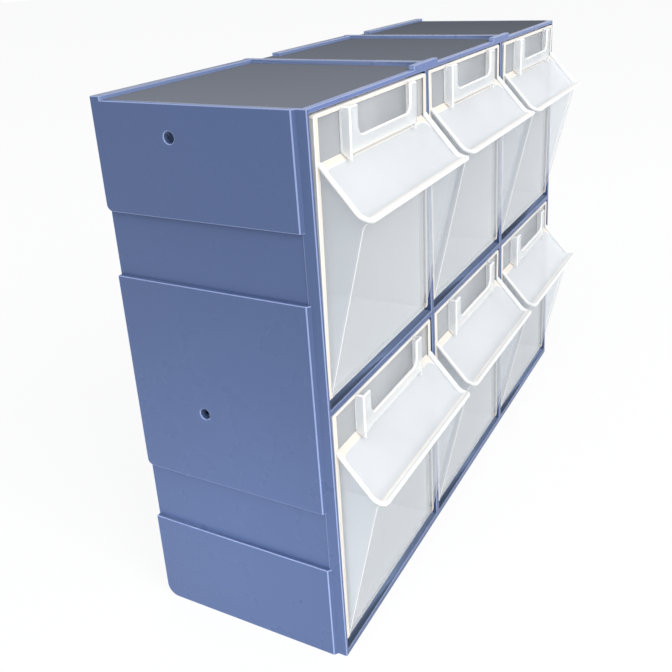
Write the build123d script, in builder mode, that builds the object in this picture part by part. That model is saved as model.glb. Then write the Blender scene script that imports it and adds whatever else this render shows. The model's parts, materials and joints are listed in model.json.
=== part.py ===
"""Unit of tilt-out bins: a shallow housing of three columns and two rows, with a bin in each place.

Lengths are millimetres. X runs along the front, Y towards the back and Z up. The origin is the
middle of the housing's underside. Each bin turns on two stub pins low down behind its front.
Bins are numbered from the upper left, along the row.
"""

import os
from math import cos, radians, sin, sqrt

from build123d import *

os.makedirs("parts", exist_ok=True)

# Housing
columns = 3
rows = 2
pitch = 106.0  # between the middles of neighbouring columns
row_rise = 122.0  # between the undersides of neighbouring rows
housing_depth = 100.0
housing_height = 246.0
divider = 3.4
side_wall = divider / 2
floor = 3.0  # base and shelves
roof_web = 1.2  # roof under the top panels
back_wall = 2.0
corner_round = 6.0  # where the base turns up into the back

# Raised and sunk fields on the outside of each side
field_front = 5.7  # plain strip left along the front edge
field_ramp = 1.35  # how far each field's front flank slopes down onto that strip
field_proud = 1.6
band_depth = 0.4
outer_field = 46.5  # height of the top and bottom fields
band = 29.0  # height of each sunk band between fields
field_round = 3.0
bottom_field_round = 6.0
inner_relief = 1.6  # hollow behind each raised field
relief_margin = 3.2
relief_front = 14.0

# Top of the housing
front_rail = 3.0
rail_rib = 2.0  # how far ribs, tabs and back rim stand above the top panels
back_rim = 5.0
rim_height = 1.7
tab_width = 26.4
rib_wide_part = 26.5  # length of the wider front part of each rib
rib_extra = 0.5
rim_gap = 25.0  # break in the back rim beside each rib

# Screw holes through the sides
screw_hole = 5.0
screw_depth = 62.0
screw_height = 110.8  # above each row's underside

# Pivot of each bin, from the front plane and from its row's underside
pivot_depth = 7.5
pivot_height = 12.5
pin_radius = 2.4
pin_clearance = 0.05
pin_reach = 1.1  # into the wall
socket_depth = 1.4

# Bin, from the front plane and from its row's underside
flange_half = 50.0
flange_low = 6.2
flange_high = 121.4
flange_front = 1.2
border = 3.0
top_border = 1.6
border_proud = 1.0
bin_wall = 1.5
tub_half = 47.5
tub_back = 90.0
tub_low_front = 5.3
tub_low_back = 2.6
side_radius = 107.0  # top edge of the bin's sides, about the pivot
back_radius = 110.1  # top edge of the bin's back, about the pivot
flange_corner = 1.5

# Hollow wedge and pouring lip on the bin's front, seen along X as depth and height
wedge_foot = (1.0, 8.0)
wedge_brow = (-16.4, 83.2)  # where the wedge's face meets the lip's underside
brow_round = 4.0
lip_root = (2.2, 102.4)
lip_bend = (-13.8, 84.7)  # where the lip turns out flat
lip_tip = (-20.2, 84.7)
lip_round = 5.0
lip_thickness = 1.5
hollow_high = 80.5  # top of the hollow behind the wedge's face

# Raised rim round the lip, ending in a round bead
rim_root = (1.4, 103.6)
rim_bend = (-15.3, 85.0)
rim_tip = (-20.2, 85.0)
rim_half = 48.2
rim_width = 1.6
bead_radius = 1.1
tip_bead_radius = 1.25

# Label holder
holder_half = 30.5
holder_low = 103.0
holder_high = 121.2
holder_front = -2.9
holder_thickness = 1.4
window_half = 24.0
window_low = 109.0
window_round = 4.0
web_low_front = 100.3
web_low_back = 103.4

# How far each bin leans out at rest, in degrees, from the upper left along the rows
bin_leans = [1.1, 0.5, 1.0, 0.5, 0.5, 0.5]

front = -housing_depth / 2
back = housing_depth / 2
half_width = columns * pitch / 2
inner_half = half_width - side_wall
bay_half = (pitch - divider) / 2
roof_low = rows * row_rise
roof_top = roof_low + roof_web
panel_back = flange_front + border_proud + bin_wall
panel_face = flange_front + border_proud
middle_low = outer_field + band
middle_high = housing_height - outer_field - band
column_centres = [(column - (columns - 1) / 2) * pitch for column in range(columns)]
divider_centres = [(column - columns / 2) * pitch for column in range(1, columns)]
row_bases = [row * row_rise for row in range(rows)]


def save(part, name):
    """Label a finished piece and write it to its own file."""
    part.label = name
    export_step(part, f"parts/{name}.step")


def box_between(low, high, mode=Mode.ADD):
    """Add or cut an upright box, given by its lowest and its highest corner."""
    with BuildSketch(Plane.XY.offset(low[2])) as footprint:
        with Locations(((low[0] + high[0]) / 2, (low[1] + high[1]) / 2)):
            Rectangle(high[0] - low[0], high[1] - low[1])
    extrude(footprint.sketch, amount=high[2] - low[2], mode=mode)


def side_outline():
    """Outline of a side, seen along X: a rounded lower back corner and a raised upper one."""
    with BuildLine() as outline:
        Polyline(
            (back, corner_round),
            (back, housing_height + rim_height),
            (back - back_rim, housing_height + rim_height),
            (back - back_rim, housing_height),
            (front, housing_height),
            (front, 0),
            (back - corner_round, 0),
        )
        RadiusArc((back - corner_round, 0), (back, corner_round), -corner_round)
    make_face(outline.edges())


def raised_field(low, high, rounding):
    """Raise one field on the left side's outer face, rounded at its lower back corner."""
    with BuildSketch(Plane.YZ.offset(-half_width)) as field:
        with BuildLine():
            Polyline(
                (back, low + rounding),
                (back, high),
                (front + field_front, high),
                (front + field_front, low),
                (back - rounding, low),
            )
            RadiusArc((back - rounding, low), (back, low + rounding), -rounding)
        make_face()
    extrude(field.sketch, amount=-field_proud)


def field_flank(low, high):
    """Slope the front flank of a raised field down onto the plain strip before it."""
    with BuildSketch(Plane.XY.offset(low)) as flank:
        with BuildLine():
            Polyline(
                (-half_width, front + field_front - field_ramp),
                (-half_width, front + field_front),
                (-half_width - field_proud, front + field_front),
                close=True,
            )
        make_face()
    extrude(flank.sketch, amount=high - low)


def inner_hollow(low, high):
    """Hollow the left side's inner face behind a raised field."""
    box_between(
        (-inner_half - inner_relief, front + relief_front, low),
        (-inner_half, back - back_rim - 1, high),
        mode=Mode.SUBTRACT,
    )


# Sides
relief_rows = [
    (floor + relief_margin, outer_field - relief_margin),
    (middle_low + relief_margin, row_rise - relief_margin),
    (row_rise + floor + relief_margin, middle_high - relief_margin),
    (middle_high + band + relief_margin, roof_low - relief_margin),
]
with BuildPart() as side_left:
    with BuildSketch(Plane.YZ.offset(-half_width)):
        side_outline()
    extrude(amount=side_wall)
    for band_low in (outer_field, middle_high):
        box_between(
            (-half_width, front + field_front, band_low),
            (-half_width + band_depth, back, band_low + band),
            mode=Mode.SUBTRACT,
        )
    for field_low, field_high, rounding in (
        (0, outer_field, bottom_field_round),
        (middle_low, middle_high, field_round),
        (middle_high + band, housing_height, field_round),
    ):
        raised_field(field_low, field_high, rounding)
        field_flank(field_low, field_high)
    box_between(
        (-half_width - field_proud, back - back_rim, housing_height),
        (-half_width, back, housing_height + rim_height),
    )
    for relief_low, relief_high in relief_rows:
        inner_hollow(relief_low, relief_high)
    for row_base in row_bases:
        with BuildSketch(Plane.YZ.offset(-inner_half)):
            with Locations((front + pivot_depth, row_base + pivot_height)):
                Circle(pin_radius + pin_clearance)
        extrude(amount=-socket_depth, mode=Mode.SUBTRACT)
        with BuildSketch(Plane.YZ.offset(-inner_half)):
            with Locations((front + screw_depth, row_base + screw_height)):
                Circle(screw_hole / 2)
        extrude(amount=-side_wall - field_proud, mode=Mode.SUBTRACT)
save(side_left.part, "side_left")

with BuildPart() as side_right:
    mirror(side_left.part, about=Plane.YZ)
save(side_right.part, "side_right")

# Base, with the rounded turn up into the back
with BuildPart() as base:
    with BuildSketch(Plane.YZ.offset(-inner_half)):
        with BuildLine():
            Polyline(
                (back, corner_round),
                (back - back_wall, corner_round),
                (back - back_wall, floor),
                (front, floor),
                (front, 0),
                (back - corner_round, 0),
            )
            RadiusArc((back - corner_round, 0), (back, corner_round), -corner_round)
        make_face()
    extrude(amount=2 * inner_half)
save(base.part, "base")

# Dividers, each with blind sockets for the pins of the bins on both sides
for number, centre in enumerate(divider_centres, start=1):
    with BuildPart() as divider_wall:
        box_between(
            (centre - divider / 2, front, floor),
            (centre + divider / 2, back - back_wall, roof_low),
        )
        for row_base in row_bases:
            for face in (-1, 1):
                with BuildSketch(Plane.YZ.offset(centre + face * divider / 2)):
                    with Locations((front + pivot_depth, row_base + pivot_height)):
                        Circle(pin_radius + pin_clearance)
                extrude(amount=-face * socket_depth, mode=Mode.SUBTRACT)
    save(divider_wall.part, f"divider_{number}")

# Shelves under the upper row, one in each column
for number, centre in enumerate(column_centres, start=1):
    with BuildPart() as shelf:
        box_between(
            (centre - bay_half, front, row_rise),
            (centre + bay_half, back - back_wall, row_rise + floor),
        )
    save(shelf.part, f"shelf_{number}")

# Roof with its front rail, tabs and ribs
with BuildPart() as roof:
    box_between((-inner_half, front, roof_low), (inner_half, back - back_wall, roof_top))
    box_between((-inner_half, front, roof_top), (inner_half, front + front_rail, housing_height))
    for centre in divider_centres:
        box_between(
            (centre - tab_width / 2, front, housing_height),
            (centre + tab_width / 2, front + front_rail, housing_height + rail_rib),
        )
        box_between(
            (centre - side_wall - rib_extra, front + front_rail, roof_top),
            (centre + side_wall + rib_extra, front + rib_wide_part, housing_height + rail_rib),
        )
        box_between(
            (centre - side_wall, front + rib_wide_part, roof_top),
            (centre + side_wall, back, housing_height + rail_rib),
        )
save(roof.part, "roof")

# Back with its broken rim
rim_spans = [(-inner_half, divider_centres[0] - side_wall)]
for number, centre in enumerate(divider_centres, start=1):
    rim_end = inner_half
    if number < len(divider_centres):
        rim_end = divider_centres[number] - side_wall
    rim_spans.append((centre + rim_gap, rim_end))
with BuildPart() as back_panel:
    box_between((-inner_half, back - back_wall, corner_round), (inner_half, back, roof_top))
    for rim_start, rim_end in rim_spans:
        box_between(
            (rim_start, back - back_rim, roof_top),
            (rim_end, back, housing_height + rim_height),
        )
save(back_panel.part, "back_panel")

# Glossy panels let into the top, one over each column
for number in range(1, columns + 1):
    left_edge = -inner_half
    rim_start = rim_spans[number - 1][0]
    if number > 1:
        left_edge = divider_centres[number - 2] + side_wall + rib_extra
    right_edge = inner_half
    if number < columns:
        right_edge = divider_centres[number - 1] - side_wall - rib_extra
    with BuildPart() as top_panel:
        box_between(
            (left_edge, front + front_rail, roof_top),
            (right_edge, back - back_rim, housing_height),
        )
        if number > 1:
            box_between(
                (left_edge, back - back_rim, roof_top),
                (rim_start, back, housing_height),
            )
    save(top_panel.part, f"top_panel_{number}")


class BinFrame:
    """Planes of one bin, leaning about its pivot, and places measured from the pivot."""

    def __init__(self, column, row_base, lean):
        self.origin = (column, front + pivot_depth, row_base + pivot_height)
        tilt = radians(lean)
        inward = (0, cos(tilt), sin(tilt))
        self.side = Plane(self.origin, x_dir=inward, z_dir=(1, 0, 0))
        self.face = Plane(self.origin, x_dir=(1, 0, 0), z_dir=(0, -cos(tilt), -sin(tilt)))

    def facing(self, depth):
        """Plane across the bin, facing forwards, at a depth behind the front plane."""
        return self.face.offset(pivot_depth - depth)


def from_pivot(depth, height):
    """Depth behind the front plane and height above the row, measured from the pivot."""
    return (depth - pivot_depth, height - pivot_height)


def tub_outline(front_depth, inset):
    """Outline of the bin's tub seen along X, drawn in by a wall thickness behind its front edge."""
    back_edge = tub_back - pivot_depth - inset
    front_edge = front_depth - pivot_depth
    slope = (tub_low_back - tub_low_front) / (tub_back - panel_face)
    low = tub_low_front + inset - pivot_height
    low_front = low + slope * (front_depth - panel_face)
    low_back = low + slope * (tub_back - inset - panel_face)
    rim = sqrt(side_radius**2 - back_edge**2)
    front_top = sqrt(side_radius**2 - front_edge**2)
    with BuildLine() as outline:
        Polyline(
            (front_edge, front_top),
            (front_edge, low_front),
            (back_edge, low_back),
            (back_edge, rim),
        )
        RadiusArc((back_edge, rim), (front_edge, front_top), -side_radius)
    make_face(outline.edges())


def lip_outline():
    """Side outline of the wedge and the lip: the wedge's face turns out into the lip's underside."""
    with BuildLine() as outline:
        FilletPolyline(
            from_pivot(*lip_root),
            from_pivot(*lip_bend),
            from_pivot(*lip_tip),
            radius=lip_round,
        )
        Line(from_pivot(*lip_tip), from_pivot(lip_tip[0], wedge_brow[1]))
        FilletPolyline(
            from_pivot(lip_tip[0], wedge_brow[1]),
            from_pivot(*wedge_brow),
            from_pivot(*wedge_foot),
            radius=brow_round,
        )
        Polyline(
            from_pivot(*wedge_foot),
            from_pivot(panel_face, wedge_foot[1]),
            from_pivot(*lip_root),
        )
    make_face(outline.edges())


def hollow_outline():
    """Side outline of the hollow behind the wedge's face, open into the tub."""
    foot_high = wedge_foot[1] + bin_wall
    behind = panel_face + 2 * bin_wall
    lean = (wedge_brow[0] - wedge_foot[0]) / (wedge_brow[1] - wedge_foot[1])
    slope = (lip_root[1] - lip_bend[1]) / (lip_root[0] - lip_bend[0])
    root_high = lip_root[1] - lip_thickness * sqrt(1 + slope**2)
    with BuildLine() as outline:
        Polyline(
            from_pivot(behind, foot_high),
            from_pivot(wedge_foot[0] + bin_wall * (1 + lean), foot_high),
            from_pivot(wedge_foot[0] + bin_wall + lean * (hollow_high - wedge_foot[1]), hollow_high),
            from_pivot(lip_root[0], root_high),
            from_pivot(behind, root_high),
            close=True,
        )
    make_face(outline.edges())


def rim_outline():
    """Side outline of the raised rim along one side of the lip."""
    with BuildLine() as outline:
        FilletPolyline(
            from_pivot(*rim_root),
            from_pivot(*rim_bend),
            from_pivot(*rim_tip),
            radius=lip_round,
        )
        Polyline(
            from_pivot(*rim_tip),
            from_pivot(rim_tip[0], wedge_brow[1]),
            from_pivot(lip_bend[0], wedge_brow[1]),
            from_pivot(rim_root[0], lip_root[1] - 2 * lip_thickness),
            from_pivot(*rim_root),
        )
    make_face(outline.edges())


def build_tub(bin_frame):
    """The part of one bin behind its front: bottom, back, two sides and the two stub pins."""
    with BuildPart() as tub:
        with BuildSketch(bin_frame.side.offset(-tub_half)):
            tub_outline(panel_back, 0)
        extrude(amount=2 * tub_half)
        with BuildSketch(bin_frame.side.offset(-tub_half + bin_wall)):
            tub_outline(panel_face, bin_wall)
        extrude(amount=2 * (tub_half - bin_wall), mode=Mode.SUBTRACT)
        back_edge = tub_back - pivot_depth
        back_low = sqrt(side_radius**2 - back_edge**2) - bin_wall
        back_high = sqrt(back_radius**2 - back_edge**2)
        with BuildSketch(bin_frame.side.offset(-tub_half)):
            with Locations((back_edge - bin_wall / 2, (back_low + back_high) / 2)):
                Rectangle(bin_wall, back_high - back_low)
        extrude(amount=2 * tub_half)
        for hand in (-1, 1):
            with BuildSketch(bin_frame.side.offset(hand * tub_half)):
                Circle(pin_radius)
            extrude(amount=hand * (bay_half - tub_half + pin_reach))
    return tub.part


def build_front(bin_frame):
    """The front of one bin: a flanged panel, open into its wedge, with the pouring lip on top."""
    with BuildPart() as bin_front:
        with BuildSketch(bin_frame.facing(panel_back)):
            with BuildLine():
                Polyline(
                    (-flange_half, flange_low - pivot_height),
                    (flange_half, flange_low - pivot_height),
                    (flange_half, flange_high - pivot_height),
                    (-flange_half, flange_high - pivot_height),
                    close=True,
                )
            flange_face = make_face()
            fillet(flange_face.vertices(), flange_corner)
        extrude(amount=panel_back - flange_front)
        with BuildSketch(bin_frame.facing(panel_face)):
            middle = (flange_low + top_border + flange_high - top_border) / 2
            with Locations((0, middle - pivot_height)):
                Rectangle(
                    2 * (flange_half - border),
                    flange_high - flange_low - 2 * top_border,
                )
        extrude(amount=border_proud, mode=Mode.SUBTRACT)
        with BuildSketch(bin_frame.facing(panel_back)):
            with Locations((0, (tub_low_front + flange_low + 1) / 2 - pivot_height)):
                Rectangle(2 * tub_half, flange_low + 1 - tub_low_front)
        extrude(amount=panel_back - panel_face)
        with BuildSketch(bin_frame.side.offset(-tub_half)):
            lip_outline()
        extrude(amount=2 * tub_half)
        for hand in (-1, 1):
            with BuildSketch(bin_frame.side.offset(hand * rim_half)):
                rim_outline()
            extrude(amount=-hand * rim_width)
        with BuildSketch(bin_frame.side.offset(-tub_half + bin_wall)):
            hollow_outline()
        extrude(amount=2 * (tub_half - bin_wall), mode=Mode.SUBTRACT)
        for hand in (-1, 1):
            with BuildLine(bin_frame.side.offset(hand * rim_half)) as bead_path:
                FilletPolyline(
                    from_pivot(*rim_root),
                    from_pivot(*rim_bend),
                    from_pivot(*rim_tip),
                    radius=lip_round,
                )
            with BuildSketch(Plane(bead_path.wire() @ 0, z_dir=bead_path.wire() % 0)):
                Circle(bead_radius)
            sweep(path=bead_path.wire())
        with BuildSketch(bin_frame.side.offset(-rim_half - tip_bead_radius)):
            with Locations(from_pivot(*rim_tip)):
                Circle(tip_bead_radius)
        extrude(amount=2 * (rim_half + tip_bead_radius))
    return bin_front.part


def build_label_holder(bin_frame):
    """The holder on one bin's front: a plate with a window open at its top, on two side webs."""
    with BuildPart() as holder:
        with BuildSketch(bin_frame.facing(holder_front + holder_thickness)):
            middle = (holder_low + holder_high) / 2 - pivot_height
            with Locations((0, middle)):
                Rectangle(2 * holder_half, holder_high - holder_low)
            window_high = holder_high + window_round * 2
            with Locations((0, (window_low + window_high) / 2 - pivot_height)):
                RectangleRounded(
                    2 * window_half,
                    window_high - window_low,
                    window_round,
                    mode=Mode.SUBTRACT,
                )
        extrude(amount=holder_thickness)
        for hand in (-1, 1):
            with BuildSketch(bin_frame.side.offset(hand * holder_half)):
                with BuildLine():
                    Polyline(
                        from_pivot(panel_face, flange_high - top_border),
                        from_pivot(flange_front, flange_high - top_border),
                        from_pivot(flange_front, holder_high),
                        from_pivot(holder_front, holder_high),
                        from_pivot(holder_front, web_low_front),
                        from_pivot(panel_face, web_low_back),
                        close=True,
                    )
                make_face()
            extrude(amount=-hand * bin_wall)
    return holder.part


bin_number = 0
for row_base in reversed(row_bases):
    for centre in column_centres:
        bin_number += 1
        bin_frame = BinFrame(centre, row_base, bin_leans[bin_number - 1])
        save(build_tub(bin_frame), f"bin_{bin_number}_tub")
        save(build_front(bin_frame), f"bin_{bin_number}_front")
        save(build_label_holder(bin_frame), f"bin_{bin_number}_label_holder")
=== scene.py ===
"""Looks of the unit of tilt-out bins: a glossy blue housing and six frosted bins.

Named lengths are millimetres, from the middle of the housing's underside: X along the front,
Y towards the back and Z up. Meshes are turned into metres when they are finished.
"""

import json
from math import cos, pi, radians, sin, sqrt, tan

import bmesh
import bpy
from mathutils import Matrix, Vector

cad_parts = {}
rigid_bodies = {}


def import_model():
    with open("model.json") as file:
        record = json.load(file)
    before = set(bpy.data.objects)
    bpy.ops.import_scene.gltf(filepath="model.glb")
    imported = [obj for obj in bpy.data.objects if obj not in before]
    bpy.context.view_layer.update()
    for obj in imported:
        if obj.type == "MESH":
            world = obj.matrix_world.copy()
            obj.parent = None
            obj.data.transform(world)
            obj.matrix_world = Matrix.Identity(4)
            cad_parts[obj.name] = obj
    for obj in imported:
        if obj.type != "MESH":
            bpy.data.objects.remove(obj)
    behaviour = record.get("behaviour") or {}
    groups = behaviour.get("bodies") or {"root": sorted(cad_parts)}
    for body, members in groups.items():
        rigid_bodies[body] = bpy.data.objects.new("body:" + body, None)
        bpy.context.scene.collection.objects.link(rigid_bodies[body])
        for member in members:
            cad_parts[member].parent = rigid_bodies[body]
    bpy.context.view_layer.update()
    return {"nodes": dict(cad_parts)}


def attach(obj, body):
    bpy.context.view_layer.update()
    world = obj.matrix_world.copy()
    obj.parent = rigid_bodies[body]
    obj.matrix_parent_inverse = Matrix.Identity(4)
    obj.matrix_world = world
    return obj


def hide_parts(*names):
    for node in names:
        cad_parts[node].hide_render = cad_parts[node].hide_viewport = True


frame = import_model()

MM = 0.001

# Housing
HALF_WIDTH = 159.0
FRONT = -50.0
BACK = 50.0
HEIGHT = 246.0
PITCH = 106.0
ROW_RISE = 122.0
DIVIDER = 3.4
SIDE_WALL = 1.7
FLOOR = 3.0
ROOF_LOW = 244.0
ROOF_TOP = 245.2
BACK_WALL = 2.0
CORNER_ROUND = 6.0
FIELD_FRONT = 5.7
FIELD_RAMP = 1.35
FIELD_PROUD = 1.6
BAND_DEPTH = 0.4
FIELDS = [(0.0, 46.5, 6.0), (75.5, 170.5, 3.0), (199.5, 246.0, 3.0)]
BANDS = [(46.5, 75.5), (170.5, 199.5)]
FRONT_RAIL = 3.0
RAIL_RIB = 2.0
BACK_RIM = 5.0
RIM_HEIGHT = 1.7
TAB_WIDTH = 26.4
RIB_WIDE_PART = 26.5
RIB_EXTRA = 0.5
RIM_GAP = 25.0
FLOOR_STRIP = 8.0
RAIL_REACH = 5.0
SCREW_RADIUS = 2.5
SCREW_DEPTH = 62.0
SCREW_HEIGHT = 110.8
COLUMNS = [-PITCH, 0.0, PITCH]
DIVIDERS = [-PITCH / 2, PITCH / 2]
ROW_BASES = [0.0, ROW_RISE]
HOUSING_ROUND = 0.35

# Bins, from the middle of the column, the front plane and the row's underside
PIVOT = Vector((0, 7.5, 12.5))
FLANGE_HALF = 50.0
FLANGE_LOW = 6.2
FLANGE_HIGH = 121.4
FLANGE_FRONT = 1.2
PANEL_FACE = 2.2
PANEL_BACK = 3.7
BORDER = 3.0
TOP_BORDER = 1.6
WALL = 1.5
TUB_HALF = 47.5
TUB_BACK = 90.0
TUB_LOW_FRONT = 5.3
TUB_LOW_BACK = 2.6
SIDE_RADIUS = 107.0
BACK_RADIUS = 110.1
PIN_RADIUS = 2.4
PIN_END = 52.4
WEDGE_FOOT = (1.4, 6.25)
HOLLOW_LOW = 6.82
WEDGE_BROW = (-16.4, 83.2)
BROW_ROUND = 4.0
LIP_ROOT = (2.2, 102.4)
LIP_BEND = (-13.8, 84.7)
LIP_TIP = (-20.2, 84.7)
LIP_ROUND = 5.0
LIP_THICKNESS = 1.5
HOLLOW_HIGH = 80.5
RIM_ROOT = (1.4, 103.6)
RIM_BEND = (-15.3, 84.9)
RIM_TIP = (-20.2, 84.5)
RIM_INNER = 46.6
RIM_OUTER = 47.4
BEAD_HALF = 48.2
BEAD_RADIUS = 0.95
TIP_ROUND = 2.2
LEDGE = 3.0
LEDGE_PROUD = 0.35
LEDGE_ROUND = 4.5
CLEAR_LOW = 101.0
LIP_LEVEL = 84.2
STRIPE_START = -17.4
EDGE_START = -18.2
UNDER_LIP = (-16.5, 82.0)
FOOT_HIGH = 10.0
HOLDER_HALF = 30.5
HOLDER_LOW = 103.0
HOLDER_HIGH = 121.2
HOLDER_FRONT = -2.9
HOLDER_THICKNESS = 1.4
WINDOW_HALF = 24.0
WINDOW_LOW = 109.0
WINDOW_ROUND = 4.0
WEB_LOW_FRONT = 100.3
WEB_LOW_BACK = 103.4
BIN_LEANS = [1.1, 0.5, 1.0, 0.5, 0.5, 0.5]
MOULDING_ROUND = 0.3
HOLDER_ROUND = 0.6

# Joined solids reach into each other by LAP, and cutting solids run past a face by PAST
LAP = 0.5
PAST = 1.0

# A face is square to an axis where its normal's share along it is above SQUARE, and slopes
# that way where it is above SLOPED. Places closer than NEAR count as the same.
SQUARE = 0.9
SLOPED = 0.3
NEAR = 0.1

# Camera and surroundings, in metres and radians, the lens and its sensor in millimetres
CAMERA_PLACE = Vector((-0.404469, -0.202449, 0.29815))
CAMERA_AZIMUTH = 1.0819173
CAMERA_DOWN = 0.3418055
CAMERA_ROLL = -0.0524329
CAMERA_LENS = 44.54
CAMERA_SHIFT = (-0.04873, -0.1386)
SENSOR_WIDTH = 36
UNIT_MIDDLE = (0, 0, 0.12)
SIDE_FOOT = (-0.16, 0, 0.02)
WORLD_LIGHT = 0.67
FLOOR_GLOW = 0.88


# ------------------------------------------------------------------- materials


class Shader:
    """A material in the making."""

    def __init__(self, name):
        self.material = bpy.data.materials.new(name)
        self.material.use_nodes = True
        self.tree = self.material.node_tree
        self.tree.nodes.clear()
        self.place = self.add("ShaderNodeTexCoord").outputs["Object"]

    def add(self, kind, **inputs):
        """A node, with sockets set to values or joined to other nodes' outputs."""
        made = self.tree.nodes.new(kind)
        for key, value in inputs.items():
            by_number = key[1:].isdigit()
            socket = made.inputs[int(key[1:])] if by_number else made.inputs[key.replace("_", " ")]
            self.fill(socket, value)
        return made

    def fill(self, socket, value):
        """Set a socket, or join it to another node's output."""
        if isinstance(value, bpy.types.NodeSocket):
            self.tree.links.new(value, socket)
        else:
            socket.default_value = value

    def noise(self, scale, detail=2.0, stretch=None):
        """Noise from 0 to 1, with its features about 1/scale metres across."""
        where = self.place
        if stretch:
            where = self.add("ShaderNodeMapping", Vector=where, Scale=stretch).outputs[0]
        return self.add("ShaderNodeTexNoise", Vector=where, Scale=scale, Detail=detail).outputs["Fac"]

    def remap(self, value, low, high, to_low, to_high):
        """Carry a range of one value over to another range."""
        made = self.add(
            "ShaderNodeMapRange",
            Value=value,
            From_Min=low,
            From_Max=high,
            To_Min=to_low,
            To_Max=to_high,
        )
        return made.outputs["Result"]

    def blend(self, share, first, second):
        """Mix two colours by a share."""
        made = self.tree.nodes.new("ShaderNodeMix")
        made.data_type = "RGBA"
        self.fill(made.inputs[0], share)
        self.fill(made.inputs[6], first)
        self.fill(made.inputs[7], second)
        return made.outputs[2]

    def bump(self, height, strength, distance):
        """Surface normals from a height."""
        return self.add("ShaderNodeBump", Height=height, Strength=strength, Distance=distance).outputs[0]

    def output(self, shader):
        """Close the material."""
        self.add("ShaderNodeOutputMaterial", Surface=shader)
        return self.material


def colour(red, green, blue):
    """A linear colour from its sRGB numbers out of 255."""
    values = []
    for part in (red, green, blue):
        share = part / 255
        values.append(share / 12.92 if share <= 0.04045 else ((share + 0.055) / 1.055) ** 2.4)
    return (*values, 1.0)


def scaled(base, factor):
    """A colour made darker or paler by a factor."""
    return (*(min(1.0, value * factor) for value in base[:3]), 1.0)


def moulded_plastic(name, base, roughness, specular, marks, painted_shade_fall=0.0):
    """Glossy moulded plastic: faint clouding, an even fine grain, dust specks and hairline scuffs, and
    where asked a painted shade that darkens it across X.
    """
    shader = Shader(name)
    clouds = shader.noise(11, 3)
    tone = shader.blend(clouds, scaled(base, 0.94), scaled(base, 1.06))
    # Painted shade: the tone darkens steadily towards +X by the given share, standing in for how light
    # falls on the top.
    if painted_shade_fall:
        across = shader.add("ShaderNodeSeparateXYZ", Vector=shader.place).outputs["X"]
        share = shader.remap(across, -HALF_WIDTH * MM, HALF_WIDTH * MM, 0, 1)
        tone = shader.blend(share, tone, scaled(base, 1 - painted_shade_fall))
    worn = scaled(base, 1.6)
    scuffs = shader.remap(shader.noise(14, 4, stretch=(2, 60, 9)), 0.70, 0.78, 0, marks)
    specks = shader.remap(shader.noise(430, 1), 0.79, 0.84, 0, marks * 2)
    tone = shader.blend(scuffs, tone, worn)
    tone = shader.blend(specks, tone, scaled(worn, 1.6))
    gloss = shader.remap(shader.noise(38, 4), 0.3, 0.7, roughness * 0.85, roughness * 1.25)
    grain = shader.bump(shader.noise(900, 2), 0.25, 0.00003)
    surface = shader.add(
        "ShaderNodeBsdfPrincipled",
        Base_Color=tone,
        Roughness=gloss,
        Normal=grain,
    )
    surface.inputs["Specular IOR Level"].default_value = specular
    return shader.output(surface.outputs[0])


def frosted_plastic(name, base, roughness, glow, seen_through, clouding=0.04):
    """Milky plastic, seen through to some degree: soft clouding, flow streaks and a satin grain."""
    shader = Shader(name)
    clouds = shader.remap(shader.noise(23, 3), 0.35, 0.65, 0, 1)
    streaks = shader.remap(shader.noise(9, 3, stretch=(5, 5, 1)), 0.4, 0.7, 0, 0.5)
    pale = scaled(base, 1 + clouding)
    tone = shader.blend(clouds, scaled(base, 1 - clouding), pale)
    tone = shader.blend(streaks, tone, pale)
    gloss = shader.remap(shader.noise(60, 3), 0.3, 0.7, roughness * 0.85, roughness * 1.2)
    grain = shader.bump(shader.noise(1300, 2), 0.3, 0.00004)
    surface = shader.add(
        "ShaderNodeBsdfPrincipled",
        Base_Color=tone,
        Roughness=gloss,
        Normal=grain,
    )
    surface.inputs["Specular IOR Level"].default_value = 0.35
    surface.inputs["IOR"].default_value = 1.3
    through = shader.add("ShaderNodeBsdfTranslucent", Color=scaled(base, 1.03), Normal=grain)
    milky = shader.add("ShaderNodeMixShader", _0=glow, _1=surface.outputs[0], _2=through.outputs[0])
    clear = shader.add("ShaderNodeBsdfTransparent", Color=(0.97, 0.98, 0.99, 1))
    both = shader.add(
        "ShaderNodeMixShader", _0=seen_through, _1=milky.outputs[0], _2=clear.outputs[0]
    )
    return shader.output(both.outputs[0])


housing_blue = moulded_plastic("housing_blue", colour(79, 96, 135), 0.27, 0.22, 0.22)
# painted light: the housing blue, paler, for the front and top faces of the top front rail
housing_rail_painted_light = moulded_plastic("housing_rail_painted_light", colour(99, 117, 166), 0.27, 0.22, 0.15)
# painted light: the housing blue, paler still, for the left and front faces of the ribs, tabs and rims
# on top
housing_rib_painted_light = moulded_plastic("housing_rib_painted_light", colour(124, 141, 182), 0.27, 0.22, 0.15)
# painted light: the housing blue, paler, for the front strip of each bay's floor, lifting the shade
# under the bins
housing_floor_painted_light = moulded_plastic("housing_floor_painted_light", colour(130, 147, 180), 0.30, 0.22, 0.15)
# painted highlight: the housing blue, paler, for all of the housing's rounded edges
housing_edge_painted_highlight = moulded_plastic("housing_edge_painted_highlight", colour(138, 153, 194), 0.30, 0.25, 0.15)
# panel_grey grows darker towards +X as painted shade
panel_grey = moulded_plastic("panel_grey", colour(115, 119, 128), 0.25, 0.0, 0.30, 0.38)
bin_tub = frosted_plastic("bin_tub", colour(253, 254, 255), 0.42, 0.10, 0.0, 0.01)
bin_front = frosted_plastic("bin_front", colour(253, 255, 255), 0.42, 0.12, 0.79)
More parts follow.
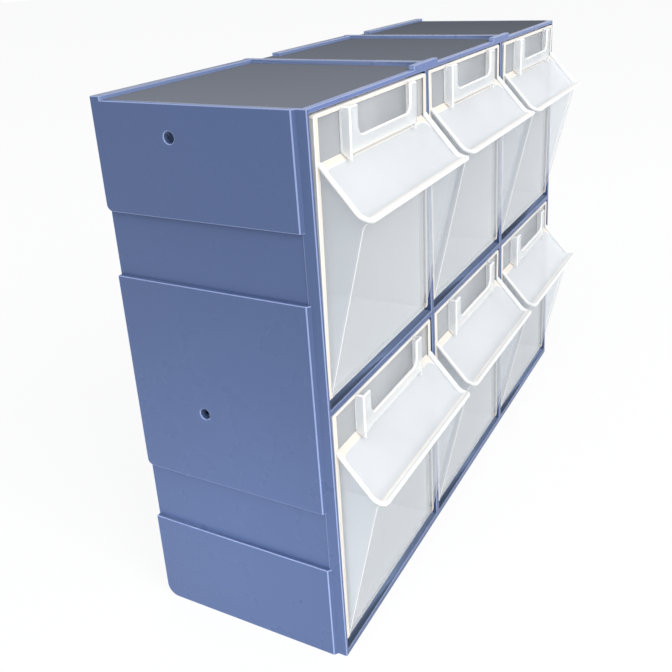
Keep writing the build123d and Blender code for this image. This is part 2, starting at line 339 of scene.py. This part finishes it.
# painted shade: the bins' frosted plastic, darker and bluer, for the wedge's side faces
bin_side_painted_shade = frosted_plastic("bin_side_painted_shade", colour(238, 242, 247), 0.42, 0.12, 0.75)
bin_lip = frosted_plastic("bin_lip", colour(238, 240, 242), 0.42, 0.22, 0.20)
bin_edge = frosted_plastic("bin_edge", colour(250, 250, 249), 0.35, 0.15, 0.0, 0.01)
bin_rim = frosted_plastic("bin_rim", colour(244, 236, 225), 0.40, 0.15, 0.0, 0.02)
bin_clear = frosted_plastic("bin_clear", colour(250, 253, 255), 0.30, 0.12, 0.72)
bin_holder = frosted_plastic("bin_holder", colour(250, 252, 254), 0.35, 0.12, 0.62)


# ---------------------------------------------------------------- mesh helpers


def skin(rings, material):
    """A closed solid through rings of points of equal number, capped at both ends."""
    builder = bmesh.new()
    levels = [[builder.verts.new(point) for point in ring] for ring in rings]
    count = len(rings[0])
    for lower, upper in zip(levels, levels[1:]):
        for i in range(count):
            j = (i + 1) % count
            builder.faces.new((lower[i], lower[j], upper[j], upper[i]))
    builder.faces.new(levels[0])
    builder.faces.new(levels[-1])
    bmesh.ops.recalc_face_normals(builder, faces=builder.faces)
    return linked("solid", builder, material)


def linked(name, builder, material):
    """A new object in the scene from a bmesh, all in one material."""
    mesh = bpy.data.meshes.new(name)
    builder.to_mesh(mesh)
    builder.free()
    mesh.materials.append(material)
    made = bpy.data.objects.new(name, mesh)
    bpy.context.scene.collection.objects.link(made)
    return made


def prism(outline, axis, low, high, material):
    """A prism along an axis, its outline given in the two other axes in their order."""
    place = {
        "x": lambda a, b, level: (level, a, b),
        "y": lambda a, b, level: (a, level, b),
        "z": lambda a, b, level: (a, b, level),
    }[axis]
    return skin([[place(a, b, level) for a, b in outline] for level in (low, high)], material)


def block(low, high, material):
    """An upright box between its lowest and its highest corner."""
    outline = [(low[0], low[1]), (high[0], low[1]), (high[0], high[1]), (low[0], high[1])]
    return prism(outline, "z", low[2], high[2], material)


def arc(centre, radius, start, end, steps):
    """Points of an arc in a plane, from one angle to another in degrees."""
    angles = [radians(start + (end - start) * i / steps) for i in range(steps + 1)]
    return [(centre[0] + radius * cos(a), centre[1] + radius * sin(a)) for a in angles]


def rounded(low, high, low_radius, high_radius, steps=6):
    """Outline of a rectangle with round corners, of one radius below and another above."""
    points = arc((high[0] - high_radius, high[1] - high_radius), high_radius, 0, 90, steps)
    points += arc((low[0] + high_radius, high[1] - high_radius), high_radius, 90, 180, steps)
    points += arc((low[0] + low_radius, low[1] + low_radius), low_radius, 180, 270, steps)
    points += arc((high[0] - low_radius, low[1] + low_radius), low_radius, 270, 360, steps)
    return points


def tube(path, radius, material, sides=16):
    """A round bar along a path of points, square to it at every point."""
    rings = []
    side = None
    for i, point in enumerate(path):
        before = path[max(i - 1, 0)]
        after = path[min(i + 1, len(path) - 1)]
        along = (after - before).normalized()
        if side is None:
            side = along.orthogonal().normalized()
        side = (side - along * side.dot(along)).normalized()
        other = along.cross(side)
        turns = [2 * pi * k / sides for k in range(sides)]
        rings.append([point + radius * (cos(t) * side + sin(t) * other) for t in turns])
    return skin(rings, material)


def combine(target, tools, operation):
    """Join solids to the target, or cut them from it. Each face keeps its own solid's material."""
    for tool in tools:
        change = target.modifiers.new("change", "BOOLEAN")
        change.operation = operation
        change.solver = "EXACT"
        change.material_mode = "TRANSFER"
        change.object = tool
    depsgraph = bpy.context.evaluated_depsgraph_get()
    mesh = bpy.data.meshes.new_from_object(target.evaluated_get(depsgraph))
    target.modifiers.clear()
    target.data = mesh
    for tool in tools:
        bpy.data.objects.remove(tool)


def paint(target, rules):
    """Give faces another material, each by the first rule that its middle and normal meet."""
    mesh = target.data
    for face in mesh.polygons:
        for material, test in rules:
            if test(face.center, face.normal):
                face.material_index = slot_of(mesh, material)
                break


def split(target, cuts):
    """Cut faces along planes, each given by a point and a normal, without parting the solid."""
    builder = bmesh.new()
    builder.from_mesh(target.data)
    for place, normal in cuts:
        everything = [*builder.verts, *builder.edges, *builder.faces]
        bmesh.ops.bisect_plane(builder, geom=everything, plane_co=place, plane_no=normal)
    builder.to_mesh(target.data)
    builder.free()


def bent(points, radius, steps=6):
    """A flat path of straight runs whose inner corners are rounded."""
    path = [Vector(points[0])]
    for before, corner, after in zip(points, points[1:], points[2:]):
        corner = Vector(corner)
        back = (Vector(before) - corner).normalized()
        ahead = (Vector(after) - corner).normalized()
        half = back.angle(ahead) / 2
        centre = corner + (back + ahead).normalized() * radius / sin(half)
        first = (corner + back * radius / tan(half) - centre).normalized()
        last = (corner + ahead * radius / tan(half) - centre).normalized()
        path += [centre + radius * first.slerp(last, i / steps) for i in range(steps + 1)]
    path.append(Vector(points[-1]))
    return [tuple(point) for point in path]


def slot_of(mesh, material):
    """The number of a material's slot in a mesh, made where it isn't there yet."""
    if mesh.materials.find(material.name) < 0:
        mesh.materials.append(material)
    return mesh.materials.find(material.name)


def clean(target, share=None):
    """Merge what the joins leave in one plane, and set each outer edge's share of the rounding."""
    closest = 0.002
    flattest = radians(0.4)
    sharp = radians(32)
    builder = bmesh.new()
    builder.from_mesh(target.data)
    bmesh.ops.remove_doubles(builder, verts=builder.verts, dist=closest)
    bmesh.ops.dissolve_limit(
        builder,
        angle_limit=flattest,
        verts=builder.verts,
        edges=builder.edges,
        delimit={"MATERIAL"},
    )
    weight = builder.edges.layers.float.new("bevel_weight_edge")
    for edge in builder.edges:
        if len(edge.link_faces) != 2 or edge.calc_face_angle() < sharp:
            continue
        if edge.is_convex:
            middle = (edge.verts[0].co + edge.verts[1].co) / 2
            edge[weight] = share(middle) if share else 0.5
            edge.smooth = edge[weight] > 0
        else:
            edge.smooth = False
    builder.to_mesh(target.data)
    builder.free()


def finish_piece(piece, name, body, nodes, matrix, bevel, edge_material):
    """Scale a solid into the frame, round its edges and hand it to its body."""
    piece.name = name
    piece.data.name = name
    piece.data.transform(Matrix.Scale(MM, 4) @ matrix)
    piece.data.polygons.foreach_set("use_smooth", [True] * len(piece.data.polygons))
    rounding = piece.modifiers.new("rounding", "BEVEL")
    rounding.width = 2 * bevel * MM
    rounding.segments = 2
    rounding.limit_method = "WEIGHT"
    rounding.use_clamp_overlap = False
    rounding.material = slot_of(piece.data, edge_material)
    shading = piece.modifiers.new("shading", "WEIGHTED_NORMAL")
    shading.keep_sharp = True
    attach(piece, body)
    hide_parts(*nodes)


# --------------------------------------------------------------------- housing


def side_solid():
    """The left side: a plate with raised fields, sunk bands and two screw holes."""
    outline = [
        (BACK, HEIGHT + RIM_HEIGHT),
        (BACK - BACK_RIM, HEIGHT + RIM_HEIGHT),
        (BACK - BACK_RIM, HEIGHT),
        (FRONT, HEIGHT),
        (FRONT, 0),
    ]
    outline += arc((BACK - CORNER_ROUND, CORNER_ROUND), CORNER_ROUND, 270, 360, 8)
    outer = -HALF_WIDTH
    proud = outer - FIELD_PROUD
    within = outer + LAP
    field_front = FRONT + FIELD_FRONT
    side = prism(outline, "x", outer, outer + SIDE_WALL, housing_blue)
    cuts = []
    for low, high in BANDS:
        start = (outer - PAST, field_front, low)
        cuts.append(block(start, (outer + BAND_DEPTH, BACK + PAST, high), housing_blue))
    combine(side, cuts, "DIFFERENCE")
    fields = []
    for low, high, corner in FIELDS:
        field = [(BACK, high), (field_front, high), (field_front, low)]
        field += arc((BACK - corner, low + corner), corner, 270, 360, 8)
        fields.append(prism(field, "x", proud, within, housing_blue))
        flank = [
            (within, field_front - FIELD_RAMP),
            (outer, field_front - FIELD_RAMP),
            (proud, field_front),
            (within, field_front),
        ]
        fields.append(prism(flank, "z", low, high, housing_blue))
    rim_low = (proud, BACK - BACK_RIM, HEIGHT - PAST)
    fields.append(block(rim_low, (within, BACK, HEIGHT + RIM_HEIGHT), housing_blue))
    combine(side, fields, "UNION")
    holes = []
    for base in ROW_BASES:
        ring = arc((FRONT + SCREW_DEPTH, base + SCREW_HEIGHT), SCREW_RADIUS, 0, 360, 32)[:-1]
        holes.append(prism(ring, "x", outer - 3 * PAST, outer + 3 * PAST, housing_blue))
    combine(side, holes, "DIFFERENCE")
    return side


def mirrored(source):
    """A copy of a solid on the other side of the middle plane."""
    copy = source.copy()
    copy.data = source.data.copy()
    copy.data.transform(Matrix.Scale(-1, 4, (1, 0, 0)))
    copy.data.flip_normals()
    bpy.context.scene.collection.objects.link(copy)
    return copy


def build_housing():
    """The whole blue housing as one moulding."""
    inner = HALF_WIDTH - SIDE_WALL
    housing = side_solid()
    parts = [mirrored(housing)]
    outline = [
        (BACK, CORNER_ROUND),
        (BACK, ROOF_TOP),
        (BACK - BACK_WALL, ROOF_TOP),
        (BACK - BACK_WALL, FLOOR),
        (FRONT, FLOOR),
        (FRONT, 0),
    ]
    outline += arc((BACK - CORNER_ROUND, CORNER_ROUND), CORNER_ROUND, 270, 360, 8)[:-1]
    parts.append(prism(outline, "x", -inner, inner, housing_blue))
    boxes = [
        ((-inner, FRONT, ROOF_LOW), (inner, BACK, ROOF_TOP)),
        ((-inner, FRONT, ROW_RISE), (inner, BACK - PAST, ROW_RISE + FLOOR)),
        ((-inner, FRONT, ROOF_LOW), (inner, FRONT + FRONT_RAIL, HEIGHT)),
    ]
    half = DIVIDER / 2
    wide = half + RIB_EXTRA
    tab = TAB_WIDTH / 2
    rib_top = HEIGHT + RAIL_RIB
    rib_low = ROOF_LOW + LAP
    wide_back = FRONT + RIB_WIDE_PART
    for centre in DIVIDERS:
        boxes += [
            ((centre - half, FRONT, PAST), (centre + half, BACK - PAST, ROOF_TOP)),
            ((centre - tab, FRONT, ROOF_TOP), (centre + tab, FRONT + FRONT_RAIL, rib_top)),
            ((centre - wide, FRONT + PAST, rib_low), (centre + wide, wide_back, rib_top)),
            ((centre - half, FRONT + 2 * PAST, rib_low), (centre + half, BACK, rib_top)),
        ]
    ends = [DIVIDERS[0] - half, DIVIDERS[1] - half, inner]
    starts = [-inner, DIVIDERS[0] + RIM_GAP, DIVIDERS[1] + RIM_GAP]
    for start, end in zip(starts, ends):
        boxes.append(((start, BACK - BACK_RIM, ROOF_LOW), (end, BACK, HEIGHT + RIM_HEIGHT)))
    parts += [block(low, high, housing_blue) for low, high in boxes]
    combine(housing, parts, "UNION")
    split(housing, [((0, FRONT + FLOOR_STRIP, 0), (0, 1, 0))])
    above = HEIGHT - PAST

    def on_floor_strip(at):
        on_floor = min(abs(at.z - base - FLOOR) for base in ROW_BASES) < NEAR
        return on_floor and at.y < FRONT + FLOOR_STRIP

    def on_rail(at):
        return at.z > HEIGHT - NEAR and at.y < FRONT + RAIL_REACH

    paint(
        housing,
        [
            # the floor strips in front of the bays take the paler blue as painted light
            (housing_floor_painted_light, lambda at, out: out.z > SQUARE and on_floor_strip(at)),
            # the ribs' and rims' left and front faces take the paler blue as painted light
            (housing_rib_painted_light, lambda at, out: out.x < -SQUARE and at.z > above and abs(at.x) < inner - PAST),
            (housing_rib_painted_light, lambda at, out: out.y < -SQUARE and at.z > above and at.y > 0),
            # the rail's top and front faces take the paler blue as painted light
            (housing_rail_painted_light, lambda at, out: out.z > SQUARE and on_rail(at)),
            (housing_rail_painted_light, lambda at, out: out.y < -SQUARE and at.z > ROOF_LOW and at.y < FRONT + PAST),
        ],
    )
    clean(housing)
    nodes = ["side_left", "side_right", "base", "roof", "back_panel", "divider_1", "divider_2"]
    nodes += ["shelf_1", "shelf_2", "shelf_3"]
    finish_piece(
        housing,
        "housing_shell",
        "housing",
        nodes,
        Matrix.Identity(4),
        HOUSING_ROUND,
        # the rounded edges take the paler blue as a painted highlight
        housing_edge_painted_highlight,
    )


# ------------------------------------------------------------------------ bins


def tub_profile(inset, arc_radius):
    """The tub seen along X, drawn in by a wall thickness, with an arc about the pivot on top."""
    back = TUB_BACK - inset
    front = PANEL_FACE + inset
    slope = (TUB_LOW_BACK - TUB_LOW_FRONT) / (TUB_BACK - PANEL_FACE)
    low_front = TUB_LOW_FRONT + inset
    low_back = low_front + slope * (back - front)
    points = [(front, low_front), (back, low_back)]
    steps = 28
    for i in range(steps + 1):
        depth = back + (front - back) * i / steps
        rise = sqrt(arc_radius**2 - (depth - PIVOT.y) ** 2)
        points.append((depth, PIVOT.z + rise))
    return points


def front_outline():
    """The wedge and the lip seen along X: the wedge's face turns out into the lip's underside."""
    outline = bent([LIP_ROOT, LIP_BEND, LIP_TIP], LIP_ROUND)
    outline += bent([(LIP_TIP[0], WEDGE_BROW[1]), WEDGE_BROW, WEDGE_FOOT], BROW_ROUND)
    back = PANEL_FACE + LAP / 2
    return outline + [(back, WEDGE_FOOT[1]), (back, LIP_ROOT[1])]


def hollow_outline():
    """The hollow behind the wedge's face seen along X, open into the tub."""
    behind = PANEL_BACK + WALL
    lean = (WEDGE_BROW[0] - WEDGE_FOOT[0]) / (WEDGE_BROW[1] - WEDGE_FOOT[1])
    slope = (LIP_ROOT[1] - LIP_BEND[1]) / (LIP_ROOT[0] - LIP_BEND[0])
    root_high = LIP_ROOT[1] - LIP_THICKNESS * sqrt(1 + slope**2)
    return [
        (behind, HOLLOW_LOW),
        (WEDGE_FOOT[0] + WALL + lean * (HOLLOW_LOW - WEDGE_FOOT[1]), HOLLOW_LOW),
        (WEDGE_FOOT[0] + WALL + lean * (HOLLOW_HIGH - WEDGE_FOOT[1]), HOLLOW_HIGH),
        (LIP_ROOT[0], root_high),
        (behind, root_high),
    ]


def rim_outline():
    """The raised rim along one side of the lip, seen along X."""
    outline = bent([RIM_ROOT, RIM_BEND, RIM_TIP], LIP_ROUND)
    outline += [(RIM_TIP[0], WEDGE_BROW[1]), (LIP_BEND[0], WEDGE_BROW[1])]
    return outline + [(RIM_ROOT[0], LIP_ROOT[1] - 2 * LIP_THICKNESS)]


def ledge_solid():
    """The slightly raised ledge at the lip's root, its two inner corners rounded."""
    root = Vector((0, *LIP_ROOT))
    down = (Vector((0, *LIP_BEND)) - root).normalized()
    out = Vector((0, down.z, -down.y))
    turn = RIM_INNER - LEDGE_ROUND
    outline = [(RIM_INNER, -LAP)]
    outline += arc((turn, LEDGE + LEDGE_ROUND), LEDGE_ROUND, 0, -90, 6)
    outline += arc((-turn, LEDGE + LEDGE_ROUND), LEDGE_ROUND, -90, -180, 6)
    outline.append((-RIM_INNER, -LAP))
    rings = []
    for height in (-0.3, LEDGE_PROUD):
        rings.append([root + Vector((x, 0, 0)) + down * run + out * height for x, run in outline])
    return skin(rings, bin_rim)


def edge_share(at):
    """An outer edge's share of the rounding: little on the wedge, none at its foot and on the bead."""
    if at.z < FOOT_HIGH and at.y < PANEL_BACK + 2 and abs(at.x) < TUB_HALF:
        return 0.0
    if abs(at.x) > BEAD_HALF - NEAR and at.y < 0:
        return 0.0
    on_wedge = abs(at.x) > TUB_HALF - NEAR and at.y < PAST and at.z < WEDGE_BROW[1]
    return 0.3 if on_wedge else 0.5


def on_clear_panel(at):
    """Whether a place is on the clear upper part of the front panel, inside its border."""
    inside = abs(at.x) < TUB_HALF - PAST and at.z > CLEAR_LOW
    return inside and PANEL_FACE - LAP < at.y < PANEL_BACK + LAP


def bin_paint():
    """The rules that give a bin's faces their material, the first that fits."""
    return [
        (bin_clear, lambda at, out: abs(out.y) > SQUARE and on_clear_panel(at)),
        (bin_edge, lambda at, out: out.z > SQUARE and at.y < EDGE_START and at.z > LIP_LEVEL),
        (bin_rim, lambda at, out: out.z > SQUARE and at.y < STRIPE_START and at.z > LIP_LEVEL),
        (bin_lip, lambda at, out: out.z > SLOPED and at.y < PANEL_FACE - NEAR and at.z > LIP_LEVEL),
        (bin_lip, lambda at, out: out.z < -SLOPED and at.y < UNDER_LIP[0] and at.z > UNDER_LIP[1]),
        # the wedge's side faces take the darker, bluer copy as painted shade
        (bin_side_painted_shade, lambda at, out: abs(out.x) > SQUARE and at.y < PANEL_FACE and at.z < CLEAR_LOW),
    ]


def build_bin_mesh():
    """One bin, upright, from the middle of its column, the front plane and its row's underside."""
    tub = prism(tub_profile(0, SIDE_RADIUS), "x", -TUB_HALF, TUB_HALF, bin_tub)
    outline = rounded((-FLANGE_HALF, FLANGE_LOW), (FLANGE_HALF, FLANGE_HIGH), 1.5, 1.5)
    flange = prism(outline, "y", FLANGE_FRONT, PANEL_BACK, bin_rim)
    combine(tub, [flange], "UNION")
    recess = block(
        (-FLANGE_HALF + BORDER, FLANGE_FRONT - PAST, FLANGE_LOW - PAST),
        (FLANGE_HALF - BORDER, PANEL_FACE, FLANGE_HIGH - TOP_BORDER),
        bin_clear,
    )
    combine(tub, [recess], "DIFFERENCE")
    combine(tub, [prism(front_outline(), "x", -TUB_HALF, TUB_HALF, bin_front)], "UNION")
    within = TUB_HALF - WALL
    hollow = prism(tub_profile(WALL, SIDE_RADIUS + 5 * PAST), "x", -within, within, bin_tub)
    combine(tub, [hollow], "DIFFERENCE")
    combine(tub, [prism(hollow_outline(), "x", -within, within, bin_front)], "DIFFERENCE")
    split(tub, [((0, STRIPE_START, 0), (0, 1, 0)), ((0, EDGE_START, 0), (0, 1, 0))])
    paint(tub, bin_paint())
    reach = TUB_BACK - PIVOT.y
    back_low = PIVOT.z + sqrt(SIDE_RADIUS**2 - reach**2) - 2 * PAST
    back_high = PIVOT.z + sqrt(BACK_RADIUS**2 - reach**2)
    extras = [
        ledge_solid(),
        block((-TUB_HALF, TUB_BACK - WALL, back_low), (TUB_HALF, TUB_BACK, back_high), bin_tub),
    ]
    ring = arc((PIVOT.y, PIVOT.z), PIN_RADIUS, 0, 360, 24)[:-1]
    for hand in (-1, 1):
        ends = sorted((hand * (TUB_HALF - LAP), hand * PIN_END))
        extras.append(prism(ring, "x", ends[0], ends[1], bin_tub))
        ends = sorted((hand * RIM_OUTER, hand * RIM_INNER))
        extras.append(prism(rim_outline(), "x", ends[0], ends[1], bin_lip))
    side_path = bent([RIM_ROOT, RIM_BEND, RIM_TIP], LIP_ROUND)[:-1]
    bead = [Vector((-BEAD_HALF, depth, level)) for depth, level in side_path]
    turn = arc((-BEAD_HALF + TIP_ROUND, RIM_TIP[0] + TIP_ROUND), TIP_ROUND, 180, 270, 6)
    bead += [Vector((x, depth, RIM_TIP[1])) for x, depth in turn]
    bead += [Vector((-point.x, point.y, point.z)) for point in reversed(bead)]
    extras.append(tube(bead, BEAD_RADIUS, bin_edge))
    combine(tub, extras, "UNION")
    paint(tub, [(bin_clear, lambda at, out: abs(out.x) > SQUARE and abs(at.x) > FLANGE_HALF - NEAR)])
    clean(tub, edge_share)
    return tub.data.copy()


def build_holder_mesh():
    """The label holder on a bin's front: a plate with a window open at its top, on two webs."""
    plate = block(
        (-HOLDER_HALF, HOLDER_FRONT, HOLDER_LOW),
        (HOLDER_HALF, HOLDER_FRONT + HOLDER_THICKNESS, HOLDER_HIGH),
        bin_holder,
    )
    webs = []
    for hand in (-1, 1):
        outline = [
            (PANEL_FACE, FLANGE_HIGH - TOP_BORDER),
            (FLANGE_FRONT, FLANGE_HIGH - TOP_BORDER),
            (FLANGE_FRONT, HOLDER_HIGH),
            (HOLDER_FRONT, HOLDER_HIGH),
            (HOLDER_FRONT, WEB_LOW_FRONT),
            (PANEL_FACE, WEB_LOW_BACK),
        ]
        ends = sorted((hand * HOLDER_HALF, hand * (HOLDER_HALF - WALL)))
        webs.append(prism(outline, "x", ends[0], ends[1], bin_holder))
    combine(plate, webs, "UNION")
    above = HOLDER_HIGH + 2 * WINDOW_ROUND
    window = rounded((-WINDOW_HALF, WINDOW_LOW), (WINDOW_HALF, above), WINDOW_ROUND, WINDOW_ROUND)
    through = HOLDER_FRONT + HOLDER_THICKNESS + LAP
    combine(plate, [prism(window, "y", HOLDER_FRONT - PAST, through, bin_edge)], "DIFFERENCE")
    clean(plate)
    return plate.data.copy()


def place_bins():
    """Six bins, each leaning a little about its own pivot, from two meshes made once."""
    bin_mesh = build_bin_mesh()
    holder_mesh = build_holder_mesh()
    for spare in [o for o in bpy.context.scene.objects if o.name.startswith("solid")]:
        bpy.data.objects.remove(spare)
    number = 0
    for base in reversed(ROW_BASES):
        for column in COLUMNS:
            number += 1
            body = f"bin_{number}"
            matrix = (
                Matrix.Translation((column, FRONT, base))
                @ Matrix.Translation(PIVOT)
                @ Matrix.Rotation(radians(BIN_LEANS[number - 1]), 4, "X")
                @ Matrix.Translation(-PIVOT)
            )
            for kind, mesh, nodes, bevel in (
                ("moulding", bin_mesh, [f"{body}_tub", f"{body}_front"], MOULDING_ROUND),
                ("holder", holder_mesh, [f"{body}_label_holder"], HOLDER_ROUND),
            ):
                name = f"{body}_{kind}"
                piece = bpy.data.objects.new(name, mesh.copy())
                bpy.context.scene.collection.objects.link(piece)
                finish_piece(piece, name, body, nodes, matrix, bevel, bin_edge)


build_housing()
place_bins()

# Glossy panels let into the top, grey and growing darker towards +X as painted shade
for number in (1, 2, 3):
    panel = frame["nodes"][f"top_panel_{number}"]
    panel.data.materials.clear()
    panel.data.materials.append(panel_grey)


# ----------------------------------------------------------------------- stage


def seen_share(tree):
    """1 for what the camera sees, straight, by a reflection or through clear plastic."""
    path = tree.nodes.new("ShaderNodeLightPath")
    seen = path.outputs["Is Camera Ray"]
    for name in ("Is Glossy Ray", "Is Transmission Ray"):
        larger = tree.nodes.new("ShaderNodeMath")
        larger.operation = "MAXIMUM"
        tree.links.new(seen, larger.inputs[0])
        tree.links.new(path.outputs[name], larger.inputs[1])
        seen = larger.outputs[0]
    return seen


def build_floor():
    """A pale floor that takes the shadow and otherwise meets the white surroundings."""
    builder = bmesh.new()
    bmesh.ops.create_grid(builder, x_segments=8, y_segments=8, size=6)
    shader = Shader("floor_paper")
    tone = shader.blend(shader.noise(300, 2), (0.90, 0.90, 0.90, 1), (0.94, 0.94, 0.94, 1))
    lit = shader.add("ShaderNodeBsdfDiffuse", Color=tone)
    glow = shader.add("ShaderNodeEmission", Color=(1, 1, 1, 1), Strength=1.0)
    share = shader.add("ShaderNodeMath", _0=seen_share(shader.tree), _1=FLOOR_GLOW)
    share.operation = "MULTIPLY"
    both = shader.add(
        "ShaderNodeMixShader", _0=share.outputs[0], _1=lit.outputs[0], _2=glow.outputs[0]
    )
    linked("floor", builder, shader.output(both.outputs[0]))


def build_world():
    """Soft light from all round, and plain white where the camera looks past the object."""
    world = bpy.data.worlds.new("studio")
    bpy.context.scene.world = world
    world.use_nodes = True
    tree = world.node_tree
    tree.nodes.clear()
    light = tree.nodes.new("ShaderNodeBackground")
    light.inputs["Color"].default_value = (0.96, 0.98, 1.0, 1)
    light.inputs["Strength"].default_value = WORLD_LIGHT
    white = tree.nodes.new("ShaderNodeBackground")
    white.inputs["Color"].default_value = (1, 1, 1, 1)
    white.inputs["Strength"].default_value = 1.0
    mix = tree.nodes.new("ShaderNodeMixShader")
    tree.links.new(seen_share(tree), mix.inputs[0])
    tree.links.new(light.outputs[0], mix.inputs[1])
    tree.links.new(white.outputs[0], mix.inputs[2])
    output = tree.nodes.new("ShaderNodeOutputWorld")
    tree.links.new(mix.outputs[0], output.inputs["Surface"])


def add_lamp(name, place, aim, size, power, spread=180):
    """A square soft box that the camera doesn't see."""
    lamp = bpy.data.lights.new(name, "AREA")
    lamp.shape = "SQUARE"
    lamp.size = size
    lamp.energy = power
    lamp.spread = radians(spread)
    made = bpy.data.objects.new(name, lamp)
    made.location = place
    made.rotation_mode = "QUATERNION"
    made.rotation_quaternion = (Vector(aim) - Vector(place)).to_track_quat("-Z", "Y")
    made.visible_camera = False
    bpy.context.scene.collection.objects.link(made)


def build_camera():
    """The photograph's viewpoint."""
    camera_data = bpy.data.cameras.new("camera")
    camera_data.sensor_width = SENSOR_WIDTH
    camera_data.lens = CAMERA_LENS
    camera_data.shift_x, camera_data.shift_y = CAMERA_SHIFT
    camera_data.clip_start = 0.01
    camera_data.clip_end = 50
    camera = bpy.data.objects.new("camera", camera_data)
    bpy.context.scene.collection.objects.link(camera)
    level = cos(CAMERA_DOWN)
    forward = Vector((sin(CAMERA_AZIMUTH) * level, cos(CAMERA_AZIMUTH) * level, -sin(CAMERA_DOWN)))
    right = Vector((cos(CAMERA_AZIMUTH), -sin(CAMERA_AZIMUTH), 0))
    up = right.cross(forward)
    rolled_right = right * cos(CAMERA_ROLL) + up * sin(CAMERA_ROLL)
    rolled_up = up * cos(CAMERA_ROLL) - right * sin(CAMERA_ROLL)
    rotation = Matrix((rolled_right, rolled_up, -forward)).transposed()
    camera.matrix_world = Matrix.Translation(CAMERA_PLACE) @ rotation.to_4x4()
    bpy.context.scene.camera = camera


build_camera()
build_world()
build_floor()
add_lamp("key", (-0.7, -1.7, 1.5), UNIT_MIDDLE, 1.2, 32)
add_lamp("side", (-1.5, 0.0, 1.5), UNIT_MIDDLE, 1.2, 7.5)
add_lamp("low", (-0.55, -0.02, 0.05), SIDE_FOOT, 0.12, 0.07, 45)

settings = bpy.context.scene.view_settings
settings.view_transform = "Standard"
